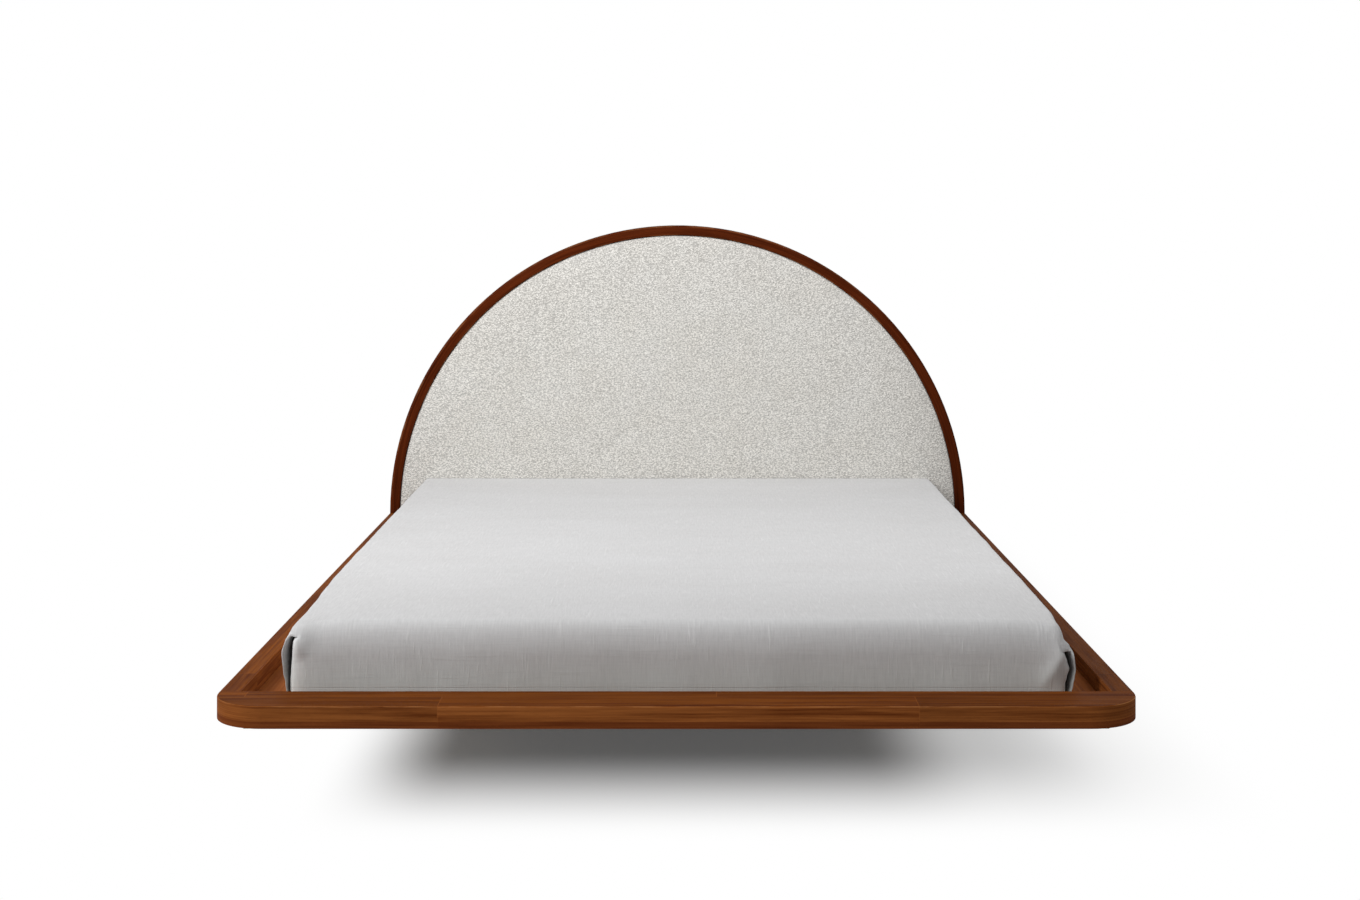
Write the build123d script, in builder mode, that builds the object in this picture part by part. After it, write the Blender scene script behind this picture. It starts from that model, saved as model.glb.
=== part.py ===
from build123d import *
import math
import os

os.makedirs("parts", exist_ok=True)

# Lengths are in millimetres. X runs across the bed, Y from its foot to its head, and Z up.
# The origin is on the floor, under the middle of the whole bed.

# Mattress
mattress_width = 1524.0
mattress_length = 2032.0
mattress_height = 139.0
mattress_crown = 9.0
mattress_shoulder_radius = 26.0
mattress_corner_radius = 60.0
mattress_side_draw = 3.0
mattress_seat_clearance = 0.3

# Cloth cover over the mattress
cloth_thickness = 2.4
cloth_ease = 0.6
cover_hem_clearance = 7.0
cover_corner_radius = 24.0
cover_wave = 9.0
left_corner_bulge = 13.0
right_corner_bulge = 20.0
pleat_depth = 15.0

# Platform: the rails, the recess inside them and its floor
platform_height = 250.0
rail_thickness = 42.0
side_rail_width = 42.0
front_rail_width = 110.0
front_corner_radius = 104.0
arris_radius = 2.5
recess_depth = 35.0
deck_thickness = 18.0
side_gap = 73.0
foot_gap = 78.0
head_gap = 5.0
border_board_width = 98.0
slat_count = 13
slat_width = 90.0
slat_chamfer = 2.5
slat_end_clearance = 0.5

# Frame under the deck
frame_depth = 70.0
timber_width = 38.0
joist_count = 4
front_joist_setback = 350.0
rear_joist_setback = 118.0
joist_taper_run = 180.0
joist_taper_rise = 24.0
bearer_tip_setback = 150.0
bearer_tip_height = 10.0
bearer_taper_setback = 330.0
timber_end_setback = 4.0
lap_clearance = 0.2

# Stepped ledgers that join the deck to the rails
ledger_shelf_thickness = 20.0
ledger_lip_thickness = 18.0
ledger_neck = 4.0
ledger_slope_run = 18.0
side_ledger_setback = 12.0
front_ledger_setback = 66.0
front_ledger_shelf = 120.0
rear_ledger_shelf = 88.0
ledger_bearer_gap = 9.0
ledger_end_clearance = 0.5

# Plinth
plinth_width = 1100.0
plinth_setback = 770.0
plinth_board_thickness = 28.0
glide_height = 8.0
glide_width = 26.0
corner_block_height = 100.0

# Headboard
rim_width = 30.0
rim_front_radius = 7.0
rim_inner_chamfer = 2.0
rim_back_chamfer = 2.0
pad_seat_depth = 22.0
pad_side_clearance = 0.6
pad_edge_setback = 5.0
pad_edge_radius = 9.0
pad_crown = 13.0
core_thickness = 15.0
core_housing = 6.0
panel_clearance = 0.5
back_panel_thickness = 6.0
post_thickness = 27.0
post_width = 90.0
post_foot_length = 14.0
brace_width = 60.0
brace_overhang = 60.0
notch_clearance = 0.5
cut_overrun = 20.0

# Joints and fixings
rail_tenon_width = 26.0
rail_tenon_thickness = 12.0
rail_tenon_length = 36.0
rim_tenon_width = 50.0
plinth_tenon_width = 14.0
plinth_tenon_length = 50.0
peg_width = 8.0
slat_peg_depth = 22.0
ledger_peg_depth = 24.0
joint_clearance = 0.1
bolt_radius = 4.0
bolt_head_width = 13.0
bolt_head_height = 5.3
bolt_end = 8.0
bolt_hole_clearance = 0.25
nut_width = 13.0
nut_height = 6.5

# Widths of the bed
cover_half_width = mattress_width / 2 + cloth_ease + cloth_thickness
rail_inner_x = cover_half_width + side_gap
platform_half_width = rail_inner_x + side_rail_width
platform_width = 2 * platform_half_width
side_rail_x = rail_inner_x + side_rail_width / 2
outer_bearer_x = rail_inner_x - border_board_width
bearer_pitch = outer_bearer_x / 2
bearer_places = [-2 * bearer_pitch, -bearer_pitch, 0, bearer_pitch, 2 * bearer_pitch]
bearer_bays = [-1.5 * bearer_pitch, -0.5 * bearer_pitch, 0.5 * bearer_pitch, 1.5 * bearer_pitch]
side_ledger_shelf = border_board_width - timber_width / 2 - ledger_bearer_gap
side_ledger_overlap = side_rail_width - side_ledger_setback
ledger_inner_x = rail_inner_x - side_ledger_shelf

# Places along the bed, from the foot to the head
headboard_depth = pad_seat_depth + core_thickness + post_thickness + back_panel_thickness
cloth_stand = cloth_ease + cloth_thickness
recess_length = foot_gap + cloth_stand + mattress_length + head_gap
platform_length = front_rail_width + recess_length + headboard_depth
front_y = -platform_length / 2
recess_front_y = front_y + front_rail_width
cover_front_y = recess_front_y + foot_gap
mattress_front_y = cover_front_y + cloth_stand
mattress_rear_y = mattress_front_y + mattress_length
head_face_y = mattress_rear_y + head_gap
core_front_y = head_face_y + pad_seat_depth
post_front_y = core_front_y + core_thickness
post_rear_y = post_front_y + post_thickness
rear_y = post_rear_y + back_panel_thickness
border_rear_y = recess_front_y + border_board_width
slat_pitch = (head_face_y - border_rear_y) / slat_count
first_joist_y = front_y + front_joist_setback
last_joist_y = head_face_y - rear_joist_setback
joist_pitch = (last_joist_y - first_joist_y) / (joist_count - 1)
joist_places = [first_joist_y + number * joist_pitch for number in range(joist_count)]
joist_bays = [place + joist_pitch / 2 for place in joist_places[:-1]]
front_shelf_y = recess_front_y + front_ledger_shelf
rear_shelf_y = head_face_y - rear_ledger_shelf
plinth_front_y = front_y + plinth_setback
plinth_rear_y = post_front_y

# Heights above the floor
deck_top = platform_height - recess_depth
deck_bottom = deck_top - deck_thickness
frame_bottom = deck_bottom - frame_depth
rail_bottom = platform_height - rail_thickness
ledger_bottom = deck_bottom - ledger_shelf_thickness
lip_bottom = rail_bottom - ledger_lip_thickness
plinth_height = frame_bottom - glide_height
mattress_bottom = deck_top + mattress_seat_clearance
mattress_top = mattress_bottom + mattress_height
cover_hem = deck_top + cover_hem_clearance

# Headboard
headboard_radius = platform_half_width
rim_inner_radius = headboard_radius - rim_width
rim_middle_x = headboard_radius - rim_width / 2
post_rise_share = 0.76
post_top = platform_height + post_rise_share * rim_inner_radius
brace_length = 2 * bearer_pitch + post_width + 2 * brace_overhang
lap_y = post_front_y + post_thickness / 2
bottom_rail_z = platform_height + brace_width / 2
top_brace_z = post_top - brace_width / 2
headboard_middle_y = head_face_y + headboard_depth / 2

# Joints and fixings
rail_tenon_z = rail_bottom + rail_thickness / 3
tenon_bottom = frame_bottom - plinth_tenon_length / 2
bolt_height_shares = (0.27, 0.73)
bolt_heights = [glide_height + share * (tenon_bottom - glide_height) for share in bolt_height_shares]
bolt_hole_radius = bolt_radius + bolt_hole_clearance
post_bottom = bolt_heights[0] - post_foot_length
front_board_y = plinth_front_y + plinth_board_thickness / 2
rear_board_y = plinth_rear_y - plinth_board_thickness / 2
side_board_x = plinth_width / 2 - plinth_board_thickness / 2
side_lip_width = side_ledger_overlap - ledger_slope_run + ledger_neck
side_peg_x = platform_half_width - side_ledger_setback - side_lip_width / 2
front_peg_y = (front_y + front_ledger_setback + recess_front_y + ledger_neck - ledger_slope_run) / 2
rear_peg_y = (post_front_y + head_face_y - ledger_neck + ledger_slope_run) / 2

# Each kind of loose tenon or peg: its size along X, Y and Z, and the places of its centre
front_tenon = (rail_tenon_width, rail_tenon_length, rail_tenon_thickness)
front_tenon_places = [(side * side_rail_x, recess_front_y, rail_tenon_z) for side in (-1, 1)]
rear_tenon = (rail_tenon_length, rail_tenon_width, rail_tenon_thickness)
rear_tenon_places = [(side * rail_inner_x, headboard_middle_y, rail_tenon_z) for side in (-1, 1)]
rim_tenon = (rail_tenon_thickness, rim_tenon_width, rail_tenon_length)
rim_tenon_places = [(side * rim_middle_x, headboard_middle_y, platform_height) for side in (-1, 1)]
plinth_tenon = (plinth_tenon_width, plinth_tenon_width, plinth_tenon_length)
board_tenon_places = [
    (x, y, frame_bottom) for y in (front_board_y, rear_board_y) for x in bearer_places[1:-1]
]
joist_tenon_places = [
    (side * side_board_x, y, frame_bottom) for y in joist_places[1:] for side in (-1, 1)
]
slat_peg = (peg_width, peg_width, deck_thickness + slat_peg_depth)
slat_peg_z = deck_top - (deck_thickness + slat_peg_depth) / 2
slat_peg_places = [
    (x, border_rear_y + (number + 0.5) * slat_pitch, slat_peg_z)
    for number in range(slat_count)
    for x in (-bearer_pitch, bearer_pitch)
]
ledger_peg = (peg_width, peg_width, ledger_lip_thickness + ledger_peg_depth)
ledger_peg_z = lip_bottom + (ledger_lip_thickness + ledger_peg_depth) / 2
side_peg_places = [(side * side_peg_x, y, ledger_peg_z) for side in (-1, 1) for y in joist_bays]
front_peg_places = [(x, front_peg_y, ledger_peg_z) for x in bearer_bays]
rear_peg_places = [(x, rear_peg_y, ledger_peg_z) for x in bearer_bays]
bolt_places = [(x, z) for x in (-bearer_pitch, bearer_pitch) for z in bolt_heights]


def mortises(places, size):
    """Cuts a mortise for a tenon or peg of that size centred on each place, in the piece being built."""
    with Locations(*places):
        Box(*[length + 2 * joint_clearance for length in size], mode=Mode.SUBTRACT)


def ledger_section(rail_face, outward, overlap, shelf):
    """Section of a ledger from the rail's inner face, with its lip under the rail.

    outward is 1 or -1, the way along the section's first axis that leads out of the bed.
    """
    points = [
        (overlap, rail_bottom),
        (0, rail_bottom),
        (0, deck_bottom),
        (-shelf, deck_bottom),
        (-shelf, ledger_bottom),
        (-ledger_neck, ledger_bottom),
        (ledger_slope_run - ledger_neck, lip_bottom),
        (overlap, lip_bottom),
    ]
    with BuildLine() as outline:
        Polyline([(rail_face + outward * reach, height) for reach, height in points], close=True)
    make_face(outline.edges())


# Front rail: one wide board with its two front corners rounded in plan
with BuildPart() as front_rail:
    with BuildSketch(Plane.XY.offset(rail_bottom)) as outline:
        with Locations((0, front_y + front_rail_width / 2)):
            Rectangle(platform_width, front_rail_width)
        fillet(outline.vertices().group_by(Axis.Y)[0], front_corner_radius)
    extrude(amount=rail_thickness)
    fillet(front_rail.faces().sort_by(Axis.Z)[-1].edges().sort_by(Axis.Y)[:-1], arris_radius)
    mortises(front_tenon_places, front_tenon)
    mortises(front_peg_places, ledger_peg)
front_rail.part.label = "front_rail"
export_step(front_rail.part, "parts/front_rail.step")

# Side rails: square strips from the front rail to the back of the headboard
side_rail_length = rear_y - recess_front_y
with BuildPart() as right_side_rail:
    with BuildSketch(Plane.XY.offset(rail_bottom)):
        with Locations((side_rail_x, recess_front_y + side_rail_length / 2)):
            Rectangle(side_rail_width, side_rail_length)
    extrude(amount=rail_thickness)
    fillet(right_side_rail.edges().filter_by(Axis.Y).group_by(Axis.Z)[-1].sort_by(Axis.X)[-1], arris_radius)
    mortises(front_tenon_places, front_tenon)
    mortises(rear_tenon_places, rear_tenon)
    mortises(rim_tenon_places, rim_tenon)
    mortises(side_peg_places, ledger_peg)
right_side_rail.part.label = "right_side_rail"
export_step(right_side_rail.part, "parts/right_side_rail.step")

with BuildPart() as left_side_rail:
    mirror(right_side_rail.part, about=Plane.YZ)
left_side_rail.part.label = "left_side_rail"
export_step(left_side_rail.part, "parts/left_side_rail.step")

# Rear rail: between the side rails and under the headboard, notched behind for the two posts
with BuildPart() as rear_rail:
    with BuildSketch(Plane.XY.offset(rail_bottom)):
        with Locations((0, headboard_middle_y)):
            Rectangle(2 * rail_inner_x, headboard_depth)
        with Locations((-bearer_pitch, rear_y), (bearer_pitch, rear_y)):
            Rectangle(post_width + 2 * notch_clearance, 2 * (rear_y - post_front_y), mode=Mode.SUBTRACT)
    extrude(amount=rail_thickness)
    mortises(rear_tenon_places, rear_tenon)
    mortises(rear_peg_places, ledger_peg)
rear_rail.part.label = "rear_rail"
export_step(rear_rail.part, "parts/rear_rail.step")

# Loose tenons that join the rails at the platform's corners, and the headboard's rim to the side rails
with BuildPart() as rail_tenons:
    with Locations(*front_tenon_places):
        Box(*front_tenon)
    with Locations(*rear_tenon_places):
        Box(*rear_tenon)
    with Locations(*rim_tenon_places):
        Box(*rim_tenon)
rail_tenons.part.label = "rail_tenons"
export_step(rail_tenons.part, "parts/rail_tenons.step")

# Ledgers: stepped battens that carry the deck boards on a shelf and the rails on a lip
side_ledger_front_y = recess_front_y + ledger_neck
side_ledger_length = post_front_y - side_ledger_front_y
with BuildPart() as right_ledger:
    with BuildSketch(Plane.XZ.offset(-post_front_y)):
        ledger_section(rail_inner_x, 1, side_ledger_overlap, side_ledger_shelf)
    extrude(amount=side_ledger_length)
    mortises(side_peg_places, ledger_peg)
right_ledger.part.label = "right_ledger"
export_step(right_ledger.part, "parts/right_ledger.step")

with BuildPart() as left_ledger:
    mirror(right_ledger.part, about=Plane.YZ)
left_ledger.part.label = "left_ledger"
export_step(left_ledger.part, "parts/left_ledger.step")

end_ledger_length = 2 * (ledger_inner_x - ledger_end_clearance)
front_ledger_overlap = front_rail_width - front_ledger_setback
with BuildPart() as front_ledger:
    with BuildSketch(Plane.YZ.offset(-end_ledger_length / 2)):
        ledger_section(recess_front_y, -1, front_ledger_overlap, front_ledger_shelf)
    extrude(amount=end_ledger_length)
    mortises(front_peg_places, ledger_peg)
front_ledger.part.label = "front_ledger"
export_step(front_ledger.part, "parts/front_ledger.step")

rear_ledger_overlap = post_front_y - head_face_y
with BuildPart() as rear_ledger:
    with BuildSketch(Plane.YZ.offset(-end_ledger_length / 2)):
        ledger_section(head_face_y, 1, rear_ledger_overlap, rear_ledger_shelf)
    extrude(amount=end_ledger_length)
    mortises(rear_peg_places, ledger_peg)
    mortises(slat_peg_places, slat_peg)
rear_ledger.part.label = "rear_ledger"
export_step(rear_ledger.part, "parts/rear_ledger.step")

# Square pegs driven up through the ledgers into the rails
with BuildPart() as ledger_pegs:
    with Locations(*side_peg_places, *front_peg_places, *rear_peg_places):
        Box(*ledger_peg)
ledger_pegs.part.label = "ledger_pegs"
export_step(ledger_pegs.part, "parts/ledger_pegs.step")

# Border boards: the floor of the recess that shows around the mattress
border_board_length = head_face_y - recess_front_y
with BuildPart() as right_border_board:
    with BuildSketch(Plane.XY.offset(deck_bottom)):
        with Locations((rail_inner_x - border_board_width / 2, recess_front_y + border_board_length / 2)):
            Rectangle(border_board_width, border_board_length)
    extrude(amount=deck_thickness)
right_border_board.part.label = "right_border_board"
export_step(right_border_board.part, "parts/right_border_board.step")

with BuildPart() as left_border_board:
    mirror(right_border_board.part, about=Plane.YZ)
left_border_board.part.label = "left_border_board"
export_step(left_border_board.part, "parts/left_border_board.step")

slat_length = 2 * (outer_bearer_x - slat_end_clearance)
with BuildPart() as front_border_board:
    with BuildSketch(Plane.XY.offset(deck_bottom)):
        with Locations((0, recess_front_y + border_board_width / 2)):
            Rectangle(slat_length, border_board_width)
    extrude(amount=deck_thickness)
front_border_board.part.label = "front_border_board"
export_step(front_border_board.part, "parts/front_border_board.step")

# Slats across the bearers, each held by two square pegs
for number in range(slat_count):
    slat_y = border_rear_y + (number + 0.5) * slat_pitch
    with BuildPart() as slat:
        with BuildSketch(Plane.XY.offset(deck_bottom)):
            with Locations((0, slat_y)):
                Rectangle(slat_length, slat_width)
        extrude(amount=deck_thickness)
        chamfer(slat.edges().filter_by(Axis.X).group_by(Axis.Z)[-1], slat_chamfer)
        mortises(slat_peg_places, slat_peg)
    slat.part.label = f"slat_{number + 1:02d}"
    export_step(slat.part, f"parts/slat_{number + 1:02d}.step")

with BuildPart() as slat_pegs:
    with Locations(*slat_peg_places):
        Box(*slat_peg)
slat_pegs.part.label = "slat_pegs"
export_step(slat_pegs.part, "parts/slat_pegs.step")

# Long bearers: five timbers from foot to head, tapered at the foot and lapped over the joists
bearer_names = [
    "left_outer_bearer",
    "left_inner_bearer",
    "centre_bearer",
    "right_inner_bearer",
    "right_outer_bearer",
]
lap_width = timber_width + 2 * lap_clearance
bearer_outline = [
    (front_y + bearer_tip_setback, ledger_bottom - bearer_tip_height),
    (front_y + bearer_tip_setback, ledger_bottom),
    (front_shelf_y + lap_clearance, ledger_bottom),
    (front_shelf_y + lap_clearance, deck_bottom),
    (rear_shelf_y - lap_clearance, deck_bottom),
    (rear_shelf_y - lap_clearance, ledger_bottom),
    (post_front_y, ledger_bottom),
    (post_front_y, frame_bottom),
    (front_y + bearer_taper_setback, frame_bottom),
]
for name, bearer_x in zip(bearer_names, bearer_places):
    with BuildPart() as bearer:
        with BuildSketch(Plane.YZ.offset(bearer_x)):
            with BuildLine():
                Polyline(bearer_outline, close=True)
            make_face()
            with Locations(*[(y, frame_bottom) for y in joist_places]):
                Rectangle(lap_width, frame_depth + 2 * lap_clearance, mode=Mode.SUBTRACT)
        extrude(amount=timber_width / 2, both=True)
        mortises(slat_peg_places, slat_peg)
        mortises(board_tenon_places, plinth_tenon)
    bearer.part.label = name
    export_step(bearer.part, f"parts/{name}.step")

# Cross joists: four timbers across the bed, tapered under both ends and lapped under the bearers
joist_end_x = rail_inner_x - ledger_neck - timber_end_setback
joist_shoulder_x = ledger_inner_x - lap_clearance
joist_half_outline = [
    (joist_shoulder_x, deck_bottom),
    (joist_shoulder_x, ledger_bottom),
    (joist_end_x, ledger_bottom),
    (joist_end_x, frame_bottom + joist_taper_rise),
    (joist_end_x - joist_taper_run, frame_bottom),
]
joist_outline = joist_half_outline + [(-x, z) for x, z in reversed(joist_half_outline)]
for number, joist_y in enumerate(joist_places):
    with BuildPart() as joist:
        with BuildSketch(Plane.XZ.offset(-joist_y)):
            with BuildLine():
                Polyline(joist_outline, close=True)
            make_face()
            with Locations(*[(x, deck_bottom) for x in bearer_places]):
                Rectangle(lap_width, frame_depth, mode=Mode.SUBTRACT)
        extrude(amount=timber_width / 2, both=True)
        mortises(joist_tenon_places, plinth_tenon)
    joist.part.label = f"cross_joist_{number + 1}"
    export_step(joist.part, f"parts/cross_joist_{number + 1}.step")

# Plinth: a box of boards on edge, set back from the platform's outline
plinth_length = plinth_rear_y - plinth_front_y
plinth_inner_width = plinth_width - 2 * plinth_board_thickness
with BuildPart() as plinth_right:
    with BuildSketch(Plane.XY.offset(glide_height)):
        with Locations((side_board_x, plinth_front_y + plinth_length / 2)):
            Rectangle(plinth_board_thickness, plinth_length)
    extrude(amount=plinth_height)
    mortises(joist_tenon_places, plinth_tenon)
plinth_right.part.label = "plinth_right"
export_step(plinth_right.part, "parts/plinth_right.step")

with BuildPart() as plinth_left:
    mirror(plinth_right.part, about=Plane.YZ)
plinth_left.part.label = "plinth_left"
export_step(plinth_left.part, "parts/plinth_left.step")

with BuildPart() as plinth_front:
    with BuildSketch(Plane.XY.offset(glide_height)):
        with Locations((0, front_board_y)):
            Rectangle(plinth_inner_width, plinth_board_thickness)
    extrude(amount=plinth_height)
    mortises(board_tenon_places, plinth_tenon)
plinth_front.part.label = "plinth_front"
export_step(plinth_front.part, "parts/plinth_front.step")

with BuildPart() as plinth_rear:
    with BuildSketch(Plane.XY.offset(glide_height)):
        with Locations((0, rear_board_y)):
            Rectangle(plinth_inner_width, plinth_board_thickness)
    extrude(amount=plinth_height)
    mortises(board_tenon_places, plinth_tenon)
    with Locations(*[(x, rear_board_y, z) for x, z in bolt_places]):
        Cylinder(bolt_hole_radius, 2 * plinth_board_thickness, rotation=(90, 0, 0), mode=Mode.SUBTRACT)
plinth_rear.part.label = "plinth_rear"
export_step(plinth_rear.part, "parts/plinth_rear.step")

cross_member_y = joist_places[-2]
with BuildPart() as plinth_cross_member:
    with BuildSketch(Plane.XY.offset(glide_height)):
        with Locations((0, cross_member_y)):
            Rectangle(plinth_inner_width, plinth_board_thickness)
    extrude(amount=plinth_height)
plinth_cross_member.part.label = "plinth_cross_member"
export_step(plinth_cross_member.part, "parts/plinth_cross_member.step")

# Corner blocks: three-cornered glue blocks that keep the plinth square, clear of the bolts
corner_block_leg_share = 0.43
corner_block_leg = corner_block_leg_share * (plinth_inner_width / 2 - bearer_pitch - nut_width)
block_x = plinth_inner_width / 2
block_front_y = plinth_front_y + plinth_board_thickness
block_rear_y = plinth_rear_y - plinth_board_thickness
block_corners = {
    "front_left_corner_block": (-1, 1, block_front_y),
    "front_right_corner_block": (1, 1, block_front_y),
    "rear_left_corner_block": (-1, -1, block_rear_y),
    "rear_right_corner_block": (1, -1, block_rear_y),
}
for name, (side, inward, corner_y) in block_corners.items():
    corner_x = side * block_x
    with BuildPart() as corner_block:
        with BuildSketch(Plane.XY.offset(glide_height)):
            with BuildLine():
                Polyline(
                    (corner_x, corner_y),
                    (corner_x - side * corner_block_leg, corner_y),
                    (corner_x, corner_y + inward * corner_block_leg),
                    close=True,
                )
            make_face()
        extrude(amount=corner_block_height)
    corner_block.part.label = name
    export_step(corner_block.part, f"parts/{name}.step")

with BuildPart() as plinth_tenons:
    with Locations(*board_tenon_places, *joist_tenon_places):
        Box(*plinth_tenon)
plinth_tenons.part.label = "plinth_tenons"
export_step(plinth_tenons.part, "parts/plinth_tenons.step")

# Glides: nine square feet under the plinth's boards
glide_x = (plinth_inner_width - glide_width) / 2
glide_rows = (front_board_y, cross_member_y, rear_board_y)
glide_places = [(x, y, glide_height / 2) for y in glide_rows for x in (-glide_x, 0, glide_x)]
with BuildPart() as plinth_glides:
    with Locations(*glide_places):
        Box(glide_width, glide_width, glide_height)
plinth_glides.part.label = "plinth_glides"
export_step(plinth_glides.part, "parts/plinth_glides.step")

# Headboard rim: a half circle of bent wood, grooved inside for the edge of the core
arch_axis = Axis((0, 0, platform_height), (0, 1, 0))
with BuildPart() as headboard_rim:
    with BuildSketch(Plane.XY.offset(platform_height)) as rim_section:
        with Locations((rim_middle_x, headboard_middle_y)):
            Rectangle(rim_width, headboard_depth)
        fillet(rim_section.vertices().group_by(Axis.Y)[0].sort_by(Axis.X)[-1], rim_front_radius)
        chamfer(rim_section.vertices().group_by(Axis.Y)[0].sort_by(Axis.X)[0], rim_inner_chamfer)
        chamfer(rim_section.vertices().group_by(Axis.Y)[-1].sort_by(Axis.X)[-1], rim_back_chamfer)
        with Locations((rim_inner_radius, core_front_y + core_thickness / 2)):
            Rectangle(2 * core_housing, core_thickness + 2 * notch_clearance, mode=Mode.SUBTRACT)
    revolve(axis=arch_axis, revolution_arc=-180)
    mortises(rim_tenon_places, rim_tenon)
headboard_rim.part.label = "headboard_rim"
export_step(headboard_rim.part, "parts/headboard_rim.step")


def half_disc(radius):
    """A half disc that stands on the platform, on a sketch whose Y is height."""
    crown_share = math.sqrt(0.5)
    left = (-radius, platform_height)
    right = (radius, platform_height)
    top = (0, platform_height + radius)
    with BuildLine() as outline:
        Line(left, right)
        ThreePointArc(right, (radius * crown_share, platform_height + radius * crown_share), top)
        ThreePointArc(top, (-radius * crown_share, platform_height + radius * crown_share), left)
    make_face(outline.edges())


# Core: the board behind the pad, held in the rim's groove
with BuildPart() as headboard_core:
    with BuildSketch(Plane.XZ.offset(-post_front_y)):
        half_disc(rim_inner_radius + core_housing - panel_clearance)
    extrude(amount=core_thickness)
headboard_core.part.label = "headboard_core"
export_step(headboard_core.part, "parts/headboard_core.step")

with BuildPart() as headboard_back_panel:
    with BuildSketch(Plane.XZ.offset(-rear_y)):
        half_disc(rim_inner_radius - panel_clearance)
    extrude(amount=back_panel_thickness)
headboard_back_panel.part.label = "headboard_back_panel"
export_step(headboard_back_panel.part, "parts/headboard_back_panel.step")

# Posts: bolted to the back of the plinth, they pass the rear rail and run up behind the core
half_lap = post_thickness / 2
for name, post_x in (("left_headboard_post", -bearer_pitch), ("right_headboard_post", bearer_pitch)):
    with BuildPart() as post:
        with BuildSketch(Plane.XZ.offset(-post_rear_y)):
            with Locations((post_x, (post_top + post_bottom) / 2)):
                Rectangle(post_width, post_top - post_bottom)
        extrude(amount=post_thickness)
        with BuildSketch(Plane.XZ.offset(-post_rear_y)):
            with Locations((post_x, bottom_rail_z), (post_x, top_brace_z)):
                Rectangle(post_width + 2 * cut_overrun, brace_width + 2 * notch_clearance)
        extrude(amount=half_lap, mode=Mode.SUBTRACT)
        with Locations(*[(x, lap_y, z) for x, z in bolt_places]):
            Cylinder(bolt_hole_radius, 2 * post_thickness, rotation=(90, 0, 0), mode=Mode.SUBTRACT)
    post.part.label = name
    export_step(post.part, f"parts/{name}.step")

# Bottom rail and top brace of the headboard, half-lapped behind the posts
bottom_rail_half_length = math.sqrt(rim_inner_radius**2 - brace_width**2) - panel_clearance
with BuildPart() as headboard_bottom_rail:
    with BuildSketch(Plane.XZ.offset(-post_rear_y)):
        with Locations((0, bottom_rail_z)):
            Rectangle(2 * bottom_rail_half_length, brace_width)
    extrude(amount=post_thickness)
    with BuildSketch(Plane.XZ.offset(-lap_y)):
        with Locations((-bearer_pitch, bottom_rail_z), (bearer_pitch, bottom_rail_z)):
            Rectangle(post_width + 2 * notch_clearance, brace_width + 2 * cut_overrun)
    extrude(amount=half_lap, mode=Mode.SUBTRACT)
headboard_bottom_rail.part.label = "headboard_bottom_rail"
export_step(headboard_bottom_rail.part, "parts/headboard_bottom_rail.step")

with BuildPart() as headboard_top_brace:
    with BuildSketch(Plane.XZ.offset(-post_rear_y)):
        with Locations((0, top_brace_z)):
            Rectangle(brace_length, brace_width)
    extrude(amount=post_thickness)
    with BuildSketch(Plane.XZ.offset(-lap_y)):
        with Locations((-bearer_pitch, top_brace_z), (bearer_pitch, top_brace_z)):
            Rectangle(post_width + 2 * notch_clearance, brace_width + 2 * cut_overrun)
    extrude(amount=half_lap, mode=Mode.SUBTRACT)
headboard_top_brace.part.label = "headboard_top_brace"
export_step(headboard_top_brace.part, "parts/headboard_top_brace.step")

# Bolts through each post and the plinth's rear board, with their nuts inside the plinth
bolt_grip = post_thickness + plinth_board_thickness
with BuildPart() as headboard_bolts:
    with BuildSketch(Plane.XZ.offset(-post_rear_y)):
        with Locations(*bolt_places):
            Circle(bolt_radius)
    extrude(amount=bolt_grip + nut_height + bolt_end)
    with BuildSketch(Plane.XZ.offset(-post_rear_y)):
        with Locations(*bolt_places):
            RegularPolygon(bolt_head_width / 2, 6, major_radius=False)
    extrude(amount=-bolt_head_height)
headboard_bolts.part.label = "headboard_bolts"
export_step(headboard_bolts.part, "parts/headboard_bolts.step")

with BuildPart() as headboard_nuts:
    with BuildSketch(Plane.XZ.offset(-(post_rear_y - bolt_grip))):
        with Locations(*bolt_places):
            RegularPolygon(nut_width / 2, 6, major_radius=False)
            Circle(bolt_radius + joint_clearance, mode=Mode.SUBTRACT)
    extrude(amount=nut_height)
headboard_nuts.part.label = "headboard_nuts"
export_step(headboard_nuts.part, "parts/headboard_nuts.step")


# Headboard pad: a crowned cushion in the arch, drawn in at its edge
def pad_outline(inset):
    """Half disc of the pad drawn in by the inset all round."""
    radius = rim_inner_radius - pad_side_clearance - inset
    rise = pad_side_clearance + inset
    first_turn = math.asin(rise / radius)
    middle_turn = (first_turn + math.radians(90)) / 2
    corner = (radius * math.cos(first_turn), platform_height + rise)
    way = (radius * math.cos(middle_turn), platform_height + radius * math.sin(middle_turn))
    top = (0, platform_height + radius)
    with BuildLine() as outline:
        Line((-corner[0], corner[1]), corner)
        ThreePointArc(corner, way, top)
        ThreePointArc(top, (-way[0], way[1]), (-corner[0], corner[1]))
    make_face(outline.edges())


pad_reach = rim_inner_radius / 2
pad_edge_y = head_face_y + pad_edge_setback
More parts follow.
